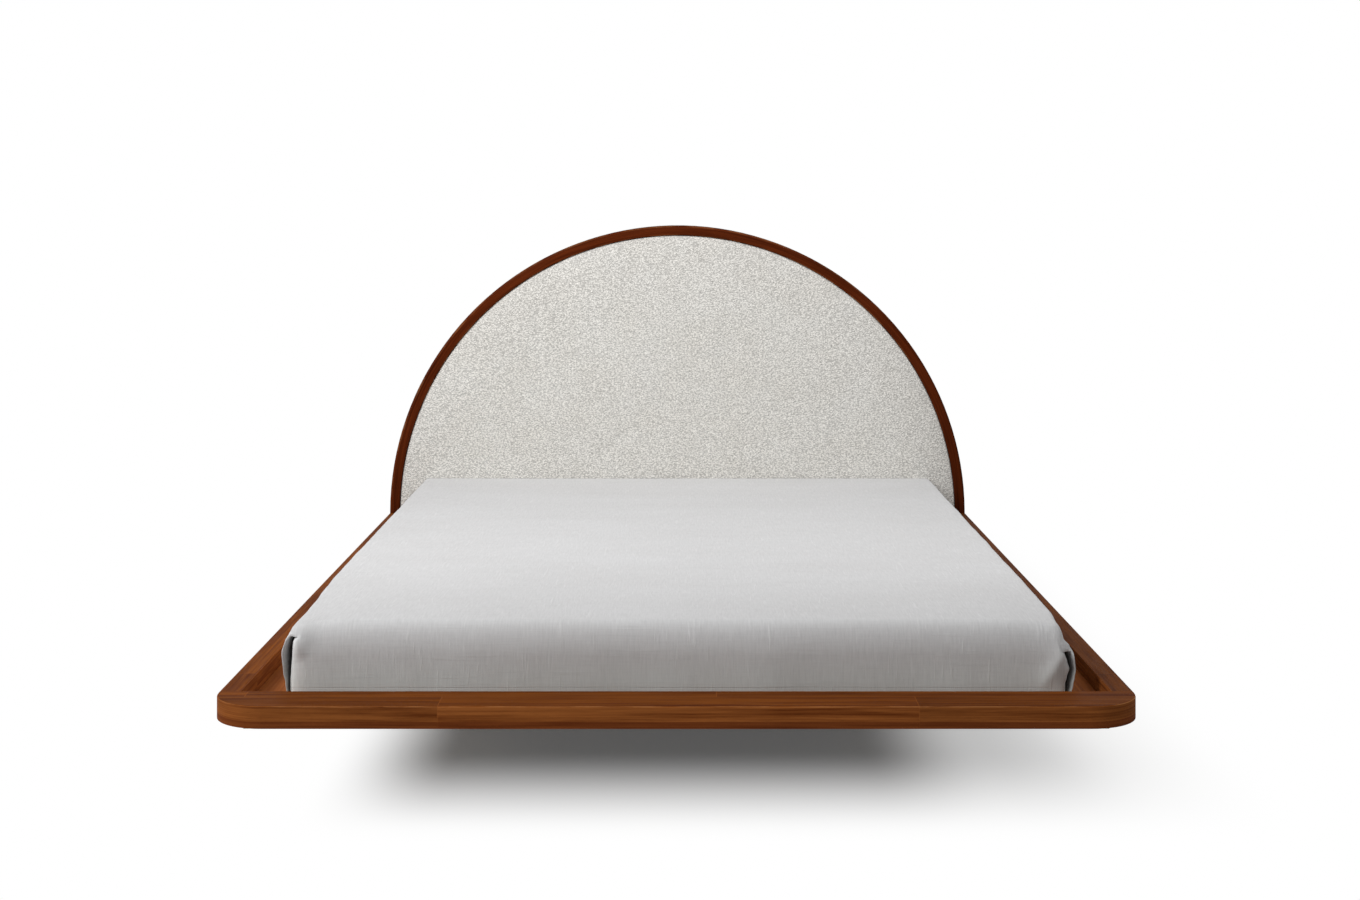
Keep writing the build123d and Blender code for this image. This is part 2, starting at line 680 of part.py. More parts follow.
# Each level: share of the reach drawn in from the edge, and share of the crown reached there
pad_crown_shares = [(0.06, 0.4), (0.2, 0.8), (0.5, 1.0)]
with BuildPart() as headboard_pad:
    with BuildSketch(Plane.XZ.offset(-core_front_y)):
        pad_outline(0)
    with BuildSketch(Plane.XZ.offset(-(pad_edge_y + pad_edge_radius))):
        pad_outline(0)
    with BuildSketch(Plane.XZ.offset(-pad_edge_y)):
        pad_outline(pad_edge_radius / 2)
    for reach_share, crown_share in pad_crown_shares:
        with BuildSketch(Plane.XZ.offset(-(pad_edge_y - pad_crown * crown_share))):
            pad_outline(pad_reach * reach_share)
    loft(ruled=True)
headboard_pad.part.label = "headboard_pad"
export_step(headboard_pad.part, "parts/headboard_pad.step")


# Levels of the mattress's rounded shoulder and crown: height, and how far the outline is drawn in
shoulder = mattress_shoulder_radius
edge_height = mattress_top - mattress_crown
shoulder_shares = [(1.0, 0.0), (0.5, 0.13), (0.13, 0.5), (0.0, 1.0)]
crown_shares = [(0.75, 0.12), (1.0, 0.35)]
crown_levels = [(edge_height - shoulder * drop, shoulder * inset) for drop, inset in shoulder_shares]
crown_levels += [
    (edge_height + mattress_crown * rise, shoulder + (mattress_width / 2 - shoulder) * inset)
    for rise, inset in crown_shares
]

# Mattress: a crowned block with rounded shoulders and slightly drawn-in sides
mattress_levels = [
    (mattress_bottom, shoulder / 2),
    (mattress_bottom + shoulder / 2, mattress_side_draw),
    (mattress_bottom + mattress_height / 3, 0),
] + crown_levels
with BuildPart() as mattress:
    for height, inset in mattress_levels:
        with BuildSketch(Plane.XY.offset(height)):
            with Locations((0, mattress_front_y + mattress_length / 2)):
                width = mattress_width - 2 * inset
                length = mattress_length - 2 * inset
                RectangleRounded(width, length, mattress_corner_radius)
    loft(ruled=True)
mattress.part.label = "mattress"
export_step(mattress.part, "parts/mattress.step")

# Waves down the cover's sides, bay by bay from the head to the foot, as shares of the wave
left_wave_shares = [0.2, 0.5, 0.3, 0.5]
right_wave_shares = [0.3, 0.7, 1.0, 0.8]
bay_count = len(left_wave_shares)
bulge_fade_shares = [0.0] * (bay_count - 1) + [0.35, 1.0]
# The fold's corners in from the outer face, as shares of the cloth's thickness along X and Y
fold_wall_shares = [(1.0, 2.4), (1.4, 1.4), (2.0, 1.0)]


def cover_half(side, inset, wave, bulge, pleated, wall):
    """Segments of the cover's outline on one side, from its head end to the edge of its foot.

    The wall is how far the outline lies inside the cloth's outer face. A segment is its start,
    a point on its way, or none where it is straight, and its end.
    """
    wave_shares = left_wave_shares if side < 0 else right_wave_shares
    half_width = cover_half_width - inset
    foot_y = cover_front_y + inset
    head_y = mattress_rear_y - inset + (cloth_stand if wall else 0)
    radius = cover_corner_radius
    if pleated:
        folds = [
            (half_width + bulge, foot_y + cloth_thickness),
            (half_width - pleat_depth, foot_y + pleat_depth),
            (half_width - cloth_thickness, foot_y),
        ]
        folds = [
            (x - wall * across, y + wall * along)
            for (x, y), (across, along) in zip(folds, fold_wall_shares)
        ]
        corner_ways = [None, None]
    else:
        round_x = half_width - radius
        round_y = foot_y + radius
        reach = radius - wall
        turns = [math.radians(90 * share) for share in (0, 0.25, 0.5, 0.75, 1)]
        bends = [(round_x + reach * math.cos(turn), round_y - reach * math.sin(turn)) for turn in turns]
        folds = bends[::2]
        corner_ways = bends[1::2]
    side_end_y = folds[0][1]
    bay_length = (side_end_y - head_y) / bay_count
    outs = [half_width - wall + bulge * share for share in bulge_fade_shares]
    outs[-1] = folds[0][0]
    nodes = [(outs[number], head_y + number * bay_length) for number in range(bay_count + 1)]
    chain = []
    for number, share in enumerate(wave_shares):
        start, end = nodes[number], nodes[number + 1]
        crest = ((start[0] + end[0]) / 2 + wave * share, (start[1] + end[1]) / 2)
        chain.append((start, crest if wave else None, end))
    chain.append((folds[0], corner_ways[0], folds[1]))
    chain.append((folds[1], corner_ways[1], folds[2]))
    return [[(side * point[0], point[1]) if point else None for point in segment] for segment in chain]


def cover_section(height, level, wall):
    """Face of the cover's whole outline at one height, inside the cloth's outer face by the wall.

    It is made edge by edge, because every level needs as many edges as the next for the loft.
    """
    inset, wave, left_bulge, right_bulge, pleated = level
    left = cover_half(-1, inset, wave, left_bulge, pleated, wall)
    right = cover_half(1, inset, wave, right_bulge, pleated, wall)
    foot = (left[-1][2], None, right[-1][2])
    head = (right[0][0], None, left[0][0])
    edges = []
    for start, way, end in left + [foot] + [segment[::-1] for segment in reversed(right)] + [head]:
        points = [(*point, height) for point in (start, way, end) if point]
        edges.append(Edge.make_three_point_arc(*points) if way else Edge.make_line(*points))
    return Face(Wire(edges))


# Levels of the hanging cloth from its hem up: height, wave, bulges of the left and right corners
drape_height = edge_height - shoulder - cover_hem
drape_shares = [
    (0.0, 1.0, 0.1, 0.95),
    (0.35, 0.8, 0.75, 1.0),
    (0.7, 0.45, 1.0, 0.8),
    (0.93, 0.15, 0.55, 0.45),
]
cover_levels = [
    (
        cover_hem + drape_height * rise,
        (0, cover_wave * wave, left_corner_bulge * left, right_corner_bulge * right, True),
    )
    for rise, wave, left, right in drape_shares
]
cover_levels += [(height + cloth_stand, (inset, 0, 0, 0, False)) for height, inset in crown_levels]

# Cover: a thin cloth, open at the hem and at the head, pleated at the two front corners
with BuildPart() as bed_cover:
    loft([cover_section(height, level, 0) for height, level in cover_levels], ruled=True)
    inner_levels = [
        (height - (0 if level[-1] else cloth_thickness), level) for height, level in cover_levels
    ]
    inner_sections = [cover_section(height, level, cloth_thickness) for height, level in inner_levels]
    loft(inner_sections, ruled=True, mode=Mode.SUBTRACT)
bed_cover.part.label = "bed_cover"
export_step(bed_cover.part, "parts/bed_cover.step")
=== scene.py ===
import bmesh
import bpy
import math
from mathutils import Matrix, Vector, noise


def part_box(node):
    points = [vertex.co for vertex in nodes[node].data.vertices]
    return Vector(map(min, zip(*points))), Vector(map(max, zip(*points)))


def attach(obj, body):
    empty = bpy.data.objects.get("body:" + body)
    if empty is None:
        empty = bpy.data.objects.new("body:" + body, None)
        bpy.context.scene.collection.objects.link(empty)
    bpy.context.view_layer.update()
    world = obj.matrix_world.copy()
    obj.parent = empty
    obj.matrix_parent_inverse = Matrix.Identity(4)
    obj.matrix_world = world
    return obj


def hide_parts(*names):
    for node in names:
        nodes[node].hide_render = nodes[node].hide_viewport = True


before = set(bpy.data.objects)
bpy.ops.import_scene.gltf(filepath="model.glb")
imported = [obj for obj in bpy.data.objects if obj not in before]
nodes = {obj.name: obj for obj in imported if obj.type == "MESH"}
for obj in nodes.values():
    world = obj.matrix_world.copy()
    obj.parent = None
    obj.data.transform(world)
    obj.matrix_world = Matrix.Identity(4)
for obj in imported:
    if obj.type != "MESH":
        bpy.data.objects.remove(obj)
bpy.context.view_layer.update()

# Lengths are in metres. X runs across the bed, Y from its foot to its head, Z up. A side is -1 for the
# left and 1 for the right, as seen from the foot.

# Camera, fitted to the photograph's view
camera_place = (0.0058, -4.636, 1.176)
camera_lens = 49.45
camera_sensor = 36.0
camera_shift = (0.0005, -0.1762)

# Soft square lamps: place, what they point at, size and power
lamps = {
    "key_lamp": ((-4.0, -2.8, 3.6), (0.0, -0.2, 0.3), 2.2, 149),
    "left_head_lamp": ((-0.95, -0.35, 1.85), (-0.6, 1.08, 0.5), 0.9, 9.7),
    "right_head_lamp": ((0.95, -0.35, 1.85), (0.6, 1.08, 0.5), 0.9, 9.2),
}
world_light = 0.333
white = (1.0, 1.0, 1.0, 1.0)

# Pale floor: half its width, its colour to the bed and to the camera, and how much shadow it keeps
floor_size = 20
floor_colour = (0.6, 0.6, 0.6, 1.0)
floor_seen = (1.2, 1.2, 1.2, 1.0)
shadow_kept = 0.92
# Where the kept shadow fades out: axis, direction on it, start, end, and the share that goes
shadow_fades = [
    (1, -1, 0.56, 1.17, 1.0),
    (0, -1, 0.47, 0.76, 1.0),
    (0, 1, 0.40, 0.66, 0.42),
    (0, 1, 0.62, 1.24, 1.0),
    (1, 1, 1.30, 2.40, 1.0),
]

# Cloth cover: how far it stands off the mattress at the sides, its thickness, and its hem
cloth_stand = 0.003
cloth_thickness = 0.0018
hem_width = 0.014
# Stitched line along the hem: stitches per metre, soft edge of its half width, and of each stitch
stitches_per_metre = 260
stitch_edge = (0.0004, 0.0009)
stitch_gap = (0.5, 0.6)
stitch_dark = 0.12
# Toward the hem the cloth is painted paler, painted light against the shade of the rail there, and a little
# tinted: how much, and over what height
hem_painted_light, hem_painted_light_height = 0.08, 0.09
drape_tint, drape_tint_height = (0.99, 1.05, 1.02, 1.0), 0.11
# How much of the colour the darkest place in a fold loses to painted shade, which also lies beside each fold
painted_fold_shade_strength = 0.8
# Its rolled edge: how far in from the drape it starts at the side and at the foot, and how far it falls
side_roll = 0.018
foot_roll = 0.034
roll_fall = 0.062
# The strip that hangs round the mattress starts this far in from the drape, at the side and at the foot
side_reach = 0.060
foot_reach = 0.110
# The foot end stands fuller: how much, where that starts, over what length it grows, and over what
# width it fades out at each side
foot_rise = 0.008
rise_start = -0.45
rise_length = 0.4
rise_fade = 0.12
# Faces along a side, round a corner and along the front, and down the flat, the roll and the drape
side_columns = 164
corner_columns = 60
front_columns = 118
flat_rows = 2
shoulder_rows = 16
drop_rows = 25

# Side drapes: place along the bed, and how far the cloth stands out there
side_stand = {
    -1: [(-0.90, 0.0), (-0.83, -0.001), (-0.72, 0.001), (-0.56, 0.007), (-0.45, 0.011)],
    1: [(-0.93, 0.0), (-0.80, 0.009), (-0.60, 0.010)],
}
# Their waves: height, length, phase, share at the top, growth toward the hem, how far out they start,
# and the finer flutes on them
side_wave = {-1: 0.0045, 1: 0.008}
wave_length = 0.46
wave_phase = {-1: 3.9, 1: 1.1}
wave_at_top = 0.2
wave_growth = 1.2
wave_offset = 0.2
flute_length = 0.155
flute_share = 0.25
# The corner fold pulls the side drape out by a share of its own stand, and holds the waves this far
fold_pull = 0.55
fold_hold = 0.16

# Front drape: height of its waves, their growth toward the hem, and how far from a corner they fade
front_wave = 0.0028
front_growth = 1.3
front_fade = 0.2
# Length, phase and share of each wave
front_waves = [(0.52, 0.7, 0.6), (0.19, 2.0, 0.25)]
# Ridges in it: both ends, height, and width on the left and on the right
front_ridges = [
    ((-0.764, 0.362), (-0.742, 0.312), 0.0100, 0.012, 0.028),
    ((0.7665, 0.3125), (0.729, 0.2525), 0.0080, 0.016, 0.014),
]
# Their section, and where along its line a ridge grows and fades, as shares of the line
ridge_tip = 0.003
ridge_profile = 1.3
ridge_start, ridge_growth = -0.3, 0.5
ridge_end, ridge_fade = 1.5, 0.8
# How far below the top the ridges start, and over what height they grow
ridge_below, ridge_ease = 0.006, 0.02
# Shadow beside each fold: place across and up, width, height and strength. It lies only on cloth that
# is at least this share of the way out to the front.
front_shadow = {-1: (0.726, 0.330, 0.026, 0.026, 0.22), 1: (0.757, 0.266, 0.010, 0.024, 0.28)}
shadow_reach = 0.9

# Corner folds as the photograph shows them, by how far below the top: how far the side's fold
# stands out, how far the front's edge stands out, and how far the fold is open
folds = {
    -1: [
        (0.000, 0.0000, -0.0040, 0.0),
        (0.012, 0.0030, -0.0060, 0.0),
        (0.024, 0.0065, -0.0075, 0.0),
        (0.029, 0.0085, -0.0070, 1.0),
        (0.052, 0.0130, -0.0065, 1.0),
        (0.091, 0.0090, -0.0035, 1.0),
        (0.110, 0.0040, -0.0020, 1.0),
        (0.135, 0.0008, -0.0015, 1.0),
    ],
    1: [
        (0.000, 0.0000, -0.0030, 0.0),
        (0.028, 0.0020, 0.0000, 0.0),
        (0.041, 0.0120, 0.0000, 0.0),
        (0.050, 0.0170, 0.0010, 0.0),
        (0.058, 0.0190, 0.0020, 1.0),
        (0.070, 0.0200, 0.0060, 1.0),
        (0.085, 0.0212, 0.0103, 1.0),
        (0.100, 0.0195, 0.0055, 1.0),
        (0.114, 0.0165, 0.0020, 1.0),
        (0.135, 0.0115, 0.0015, 1.0),
    ],
}
# A fold is this many times as deep as it is wide, up to a limit
fold_depth_share = 4.0
fold_depth_limit = 0.075
# Radius of the side cloth's folded edge, and how far the front drape's edge is rounded: across and back
nose = 0.006
edge_round = {-1: (0.024, 0.015), 1: (0.018, 0.012)}
# Where on the line round a corner the painted shade in the fold starts and the front drape starts, as shares
# of the line
painted_shade_start = {-1: 0.29, 1: 0.235}
fold_front_share = 0.69
# Shares of the line over which the painted shade comes and goes, and the front drape takes up its waves
dark_comes, dark_goes = 0.2, 0.05
front_ease = 0.12
# How much paler the front drape's edge is painted than the cloth round it, a painted highlight, and where on
# the line that is
painted_edge_light = {-1: 0.4, 1: 0.0}
pale_before, pale_comes = 0.04, 0.06
pale_end, pale_goes = 0.96, 0.2

# Creases in the washed cloth: height, how close they lie on each axis, and their place in the noise
long_crease = (0.0006, (2.2, 11, 4), 3)
fine_crease = (0.0002, (7, 34, 12), 9)
hanging_crease = (0.0009, (16, 16, 3), 21)

# Mattress under the cover: its corner radius, cuts along each side of the
# block, and how much these gather at its edges
mattress_corner = 0.060
mattress_cuts = 47
mattress_gather = 1.8
# How far from the foot its roll starts to widen, and over what length it does
roll_widens = 0.5
roll_widening = 0.4

# Headboard pad: height of its crown, how far in that rises, and radius of its edge
pad_crown = 0.013
pad_crown_reach = 0.05
pad_edge_radius = 0.005
# How far above its base its rows of faces start, and its faces round the arc, along the base, from
# there to the edge, and round the edge
pad_middle_up = 0.04
pad_arc_columns = 300
pad_base_columns = 150
pad_rows = 96
pad_edge_rows = 6
# Puckers at its rim, slow swells over its face, and curls of the wool: height, closeness and reach
pucker_height, pucker_scale, pucker_reach = 0.0016, 15, 0.035
swell_height, swell_scale, swell_margin = 0.0016, 3.1, 0.02
curl_height, curl_across, curl_up = 0.0006, 120, 150
# Its one soft crease: both ends, depth and width
crease_start = Vector((-0.13, 0.525))
crease_end = Vector((-0.235, 0.42))
crease_depth = 0.0022
crease_width = 0.016

# Places taken from the CAD
arch_centre_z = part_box("headboard_rim")[0].z
mattress_low, mattress_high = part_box("mattress")
cover_low, cover_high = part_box("bed_cover")
pad_low, pad_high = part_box("headboard_pad")
half_width = mattress_high.x + cloth_stand
inner_x = half_width - side_reach
foot_y = cover_low.y
head_y = cover_high.y
inner_y = foot_y + foot_reach
top_z = cover_high.z
hem_z = cover_low.z
cover_fall = top_z - hem_z
straight_drop = top_z - roll_fall - hem_z
pad_radius = pad_high.x
pad_centre_z = pad_high.z - pad_radius


def smooth(share):
    """Soft step from 0 to 1."""
    share = min(max(share, 0.0), 1.0)
    return share * share * (3 - 2 * share)


def between(table, at):
    """The row of a table of shares at one place, eased between the rows written in it."""
    for low, high in zip(table, table[1:]):
        if at <= high[0]:
            ease = smooth((at - low[0]) / (high[0] - low[0]))
            return [a + (b - a) * ease for a, b in zip(low[1:], high[1:])]
    return list(table[-1][1:])


def new_piece(name, mesh, material, node):
    """A finished bmesh as a piece that rides with the bed and stands for one node."""
    data = bpy.data.meshes.new(name)
    mesh.to_mesh(data)
    mesh.free()
    data.shade_smooth()
    piece = bpy.data.objects.new(name, data)
    bpy.context.scene.collection.objects.link(piece)
    data.materials.append(material)
    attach(piece, "root")
    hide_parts(node)
    return piece


class Wire:
    """An output of a finish's nodes. Arithmetic on it adds Math nodes."""

    def __init__(self, finish, socket):
        self.finish = finish
        self.socket = socket

    def math(self, operation, first, second=0.0):
        return self.finish.node("Math", {"operation": operation}, {0: first, 1: second})

    def __add__(self, other):
        return self.math("ADD", self, other)

    def __sub__(self, other):
        return self.math("SUBTRACT", self, other)

    def __rsub__(self, other):
        return self.math("SUBTRACT", other, self)

    def __mul__(self, other):
        return self.math("MULTIPLY", self, other)

    def __truediv__(self, other):
        return self.math("DIVIDE", self, other)

    __radd__ = __add__
    __rmul__ = __mul__

    def floor(self):
        return self.math("FLOOR", self)

    def fraction(self):
        return self.math("FRACT", self)

    def size(self):
        """The value without its sign."""
        return self.math("ABSOLUTE", self)

    def least(self, other):
        return self.math("MINIMUM", self, other)

    def most(self, other):
        return self.math("MAXIMUM", self, other)

    def step(self, low, high):
        """0 below low, 1 above high, eased between."""
        settings = {"interpolation_type": "SMOOTHSTEP"}
        return self.finish.node("MapRange", settings, {0: self, 1: low, 2: high})


class Finish:
    """A material, or the world's light, built from nodes."""

    def __init__(self, name, kind="materials"):
        self.owner = getattr(bpy.data, kind).new(name)
        self.owner.use_nodes = True
        self.tree = self.owner.node_tree
        self.tree.nodes.clear()

    def node(self, kind, settings=None, inputs=None, output=0):
        """One node: its settings come first, then the values or links of its sockets."""
        made = self.tree.nodes.new("ShaderNode" + kind)
        for key, value in (settings or {}).items():
            setattr(made, key, value)
        for key, value in (inputs or {}).items():
            if isinstance(value, Wire):
                self.tree.links.new(value.socket, made.inputs[key])
            else:
                made.inputs[key].default_value = value
        return Wire(self, made.outputs[output]) if len(made.outputs) else None

    def place(self, kind="Object"):
        """The three coordinates of a point of the piece."""
        spot = self.node("TexCoord", output=kind)
        return [self.node("SeparateXYZ", None, {0: spot}, axis) for axis in range(3)]

    def point(self, x, y, z):
        return self.node("CombineXYZ", None, {0: x, 1: y, 2: z})

    def kept(self, name):
        """A number that the piece's mesh keeps at each of its points."""
        return self.node("Attribute", {"attribute_name": name}, output="Fac")

    def ray(self, name):
        """1 where the light path is of one kind."""
        return self.node("LightPath", output=name)

    def grain(self, x, y, z, detail=3.0, roughness=0.55, warp=0.0):
        """Soft noise around 0.5."""
        look = {"Scale": 1.0, "Detail": detail, "Roughness": roughness, "Distortion": warp}
        return self.node("TexNoise", None, {"Vector": self.point(x, y, z), **look})

    def cells(self, spot, kind, settings):
        """How far a point is from the middle of the nearest of many small cells."""
        return self.node("TexVoronoi", {"feature": kind}, {"Vector": spot, **settings})

    def chance(self, x, y, z):
        """A random value for each whole-numbered place."""
        return self.node("TexWhiteNoise", None, {"Vector": self.point(x, y, z)})

    def mix(self, share, first, second, blend="MIX"):
        settings = {"data_type": "RGBA", "blend_type": blend}
        return self.node("Mix", settings, {0: share, 6: first, 7: second}, 2)

    def shade(self, colour, factor):
        """A colour made lighter or darker by a factor."""
        return self.mix(1.0, colour, self.point(factor, factor, factor), "MULTIPLY")

    def bump(self, height, distance, strength):
        return self.node("Bump", None, {"Height": height, "Distance": distance, "Strength": strength})

    def surface(self, sockets):
        """Ends a material with one glossy coloured surface."""
        return self.close(self.node("BsdfPrincipled", None, sockets))

    def close(self, shader, end="OutputMaterial"):
        """Ends the nodes with a shader."""
        self.node(end, None, {0: shader})
        return self.owner


def paint(red, green, blue):
    """A colour as a painter names it, 0 to 255, as the renderer's light values."""
    levels = [value / 255 for value in (red, green, blue)]
    light = [v / 12.92 if v <= 0.04045 else ((v + 0.055) / 1.055) ** 2.4 for v in levels]
    return (*light, 1.0)


# Pale and deep colour of each wood's figure
walnut = (paint(166, 98, 48), paint(112, 56, 22))
rim_walnut = (paint(92, 38, 13), paint(54, 17, 4))
veneer = (paint(166, 112, 68), paint(108, 62, 32))
plywood = (paint(222, 196, 156), paint(196, 162, 118))
birch = (paint(232, 208, 168), paint(206, 172, 126))
beech = (paint(226, 190, 150), paint(200, 156, 112))
stained = (paint(92, 76, 64), paint(54, 42, 34))
# Colour of rubbed edges, lighter, which also stands for a painted highlight along them
rub_and_highlight_colour = paint(190, 128, 78)
# Darker band along the bottom of the front rail, painted shade along its lower edge: its deep and pale
# colour, how much of them shows, how high it reaches, and the softness of its upper edge
low_band_shade_colours = (paint(86, 37, 15), paint(132, 68, 33))
low_band_shade_share = 0.75
low_band_height = 0.0135
low_band_edge = 0.0006
# Pale line over that band, a painted highlight along its edge, and glue line between strips: soft edge of its
# half width, and how much of it shows
low_band_highlight_edge, low_band_highlight_share = (0.0003, 0.0011), 0.3
seam_edge, seam_share = (0.0004, 0.0012), 0.35
# What upward faces of the rails are multiplied by: a painted warm tint that takes out the pale sheen they
# catch
top_painted_tint = (1.0, 0.86, 0.42, 1.0)
# Upward part of a face's direction: at upward faces, at bends that keep their board, and at a rubbed
# edge with its painted highlight, where it grows and where it goes
flat_slope = (0.75, 0.97)
bend_slope = (0.5, 0.9)
edge_slope = ((0.15, 0.55), (0.8, 0.98))
# Turns an angle round the arch into a length along its rim
arch_radius = 0.86
# How strongly the parts of a wood's figure show: rings, streaks, pores, the slow shimmer, and the
# differences between strips
ring_strength = 1.55
streak_strength = 2.0
pore_strength = 0.22
shimmer_strength = 0.4
strip_strength = 0.22
# How far each row of strips is shifted against the last, and where their chances lie in the noise
strip_shift = 0.377
chance_place = 3.7
chance_spread = 7.3

# Rails: finish, grain, tone, width and length of a strip, where the first one starts across and along
# the grain, and the tone of upward faces, which is painted shade. The side rails' tones paint light and
# shade too: the left rail's upright faces lighter and the right rail darker, as the light falls from the
# left.
rails = {
    "front_rail": ("front_rail_walnut", "X", 0.96, (0.070, 0.9), (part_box("front_rail")[0].y, -0.446), 0.57),
    "left_side_rail": ("left_rail_walnut", "Y", 1.30, (0.042, 0.9), (-0.880, 0.0), 0.47),
    "right_side_rail": ("right_rail_walnut", "Y", 0.78, (0.042, 0.9), (0.838, 0.0), 0.60),
    "rear_rail": ("rear_rail_walnut", "X", 0.95, (0.070, 0.7), (1.079, 0.0), 0.60),
}
rail_look = {"figure": 1.3, "edge_rub_and_highlight": 0.7, "tint": 1.0, "pale_seams": True}
# Boards beside the mattress: finish, grain, tone, and where they start across the grain
ledges = {
    "left_border_board": ("left_board_walnut", "Y", 1.05, -0.838),
    "right_border_board": ("right_board_walnut", "Y", 0.98, 0.740),
    "front_border_board": ("front_board_walnut", "X", 0.60, -1.039),
}
ledge_strip = (0.098, 1.3)
# Headboard: finish, colours, grain, strip, where it starts across the grain, and what else it has
headboard_parts = {
    "headboard_rim": ("rim_walnut", rim_walnut, "arch", (0.40, 20.0), 0.0, {"edge_rub_and_highlight": 0.25, "roughness": 0.4}),
    "headboard_back_panel": ("back_veneer", veneer, "Z", (0.28, 9.0), -1.4, {"roughness": 0.5}),
    "headboard_core": ("core_ply", plywood, "X", (0.50, 9.0), 0.0, {"figure": 0.6}),
}
# Slats: strip, how far before a slat it starts, and how far their tones differ
slat_strip = (0.2, 9.0)
slat_gap = 0.003
slat_spread = 0.05
pegs = ["rail_tenons", "slat_pegs", "plinth_tenons", "ledger_pegs"]
peg_strip, peg_start = (0.5, 9.0), (-1.3, 0.0)
frame_strip, frame_start = (0.6, 9.0), (-2.0, 0.0)


def wood(name, colours, grain, tone, strip, start, figure=1.0, roughness=0.6, edge_rub_and_highlight=0.0, low_band_top=0.0,
         top_painted_shade=1.0, tint=0.0, pale_seams=False):
    """Wood glued up from strips, with its grain along one axis of the bed or round the arch.

    A strip has a width and a length, and start says where the first one starts across and along the
    grain. The tone makes the whole piece lighter or darker. Its upward faces get painted shade, darker
    by their own tone, and a share of a painted warm tint against the pale sheen they catch.
    figure is how strong its figure is. Its edges can be rubbed, painted lighter as wear and as a
    painted highlight along them, and up to a given height it can have a darker band, painted shade
    along the rail's lower edge, with a painted highlight along its top.
    """
    finish = Finish(name)
    pale, deep = colours
    board, stave = strip
    first_board, first_stave = start
    x, y, z = finish.place()
    if grain == "arch":
        up = z - arch_centre_z
        along = x.math("ARCTAN2", up, x) * arch_radius
        across = x.math("POWER", x * x + up * up, 0.5)
        through = y
    else:
        along, across, through = {"X": (x, y, z), "Y": (y, x, z), "Z": (z, x, y)}[grain]
    slope = finish.place("Normal")[2].size()
    if grain in "XY":
        # Upright faces keep the grain of one board, also round a bend
        middle = first_board + board / 2
        across = (across - middle) * slope.step(*bend_slope) + middle
    row = ((across - first_board) / board).floor()
    length = (along - first_stave + row * strip_shift) / stave
    chance = finish.chance(row, length.floor(), chance_place)
    shift = chance * chance_spread

    # Figure from coarse to fine
    rings = finish.grain(along * 1.3 + shift, across * 32 + shift, through * 32, 4.0, 0.6, 0.7)
    streaks = finish.grain(along * 5 + shift, across * 190, through * 190, 3.0, 0.6)
    pores = finish.grain(along * 38, across * 950, through * 950, 2.0, 0.6).step(0.62, 0.74)
    shimmer = finish.grain(along * 2.4 + shift, across * 6, through * 6, 2.0)
    share = (rings - 0.5) * (ring_strength * figure) + (streaks - 0.5) * (streak_strength * figure) + 0.5
    colour = finish.mix(share, deep, pale)
    # Upward faces get painted shade, darker by their own tone, and a painted warm tint against their sheen
    flat = slope.step(*flat_slope)
    level = flat * (top_painted_shade - 1.0) + 1.0
    factor = (chance - 0.5) * strip_strength + (shimmer - 0.5) * shimmer_strength + tone
    colour = finish.shade(colour, (factor - pores * pore_strength) * level)
    colour = finish.mix(flat * tint, colour, top_painted_tint, "MULTIPLY")

    # Glue lines between boards and between the staves of a board
    seam = ((across - first_board) / board).fraction()
    seam = (0.5 - (seam - 0.5).size()) * board
    end = (0.5 - (length.fraction() - 0.5).size()) * stave
    line = 1 - seam.least(end).step(*seam_edge)
    colour = finish.mix(line * seam_share, colour, pale if pale_seams else deep)
    # A darker band at the bottom is painted shade along the rail's lower edge, and the pale line over it a
    # painted highlight
    if low_band_top:
        below = 1 - z.step(low_band_top - low_band_edge, low_band_top + low_band_edge)
        colour = finish.mix(below * low_band_shade_share, colour, finish.mix(streaks, *low_band_shade_colours))
        low_band_highlight = 1 - (z - low_band_top).size().step(*low_band_highlight_edge)
        colour = finish.mix(low_band_highlight * low_band_highlight_share, colour, pale)
    # Rubbed edges are painted lighter, as wear and as a painted highlight along the arrises
    if edge_rub_and_highlight:
        grows, goes = edge_slope
        edge = slope.step(*grows) * (1 - slope.step(*goes))
        rub = finish.grain(along * 14, across * 14, through * 14, 3.0).step(0.38, 0.62)
        colour = finish.mix(edge * rub * edge_rub_and_highlight, colour, rub_and_highlight_colour)
    relief = streaks * 0.5 - pores * 0.6 - line * 0.8
    rough = finish.grain(along * 8, across * 60, through * 60) * 0.16 + (roughness - 0.08) + pores * 0.2
    return finish.surface({
        "Base Color": colour,
        "Roughness": rough,
        "Specular IOR Level": 0.02,
        "Normal": finish.bump(relief, 0.0004, 0.5),
    })


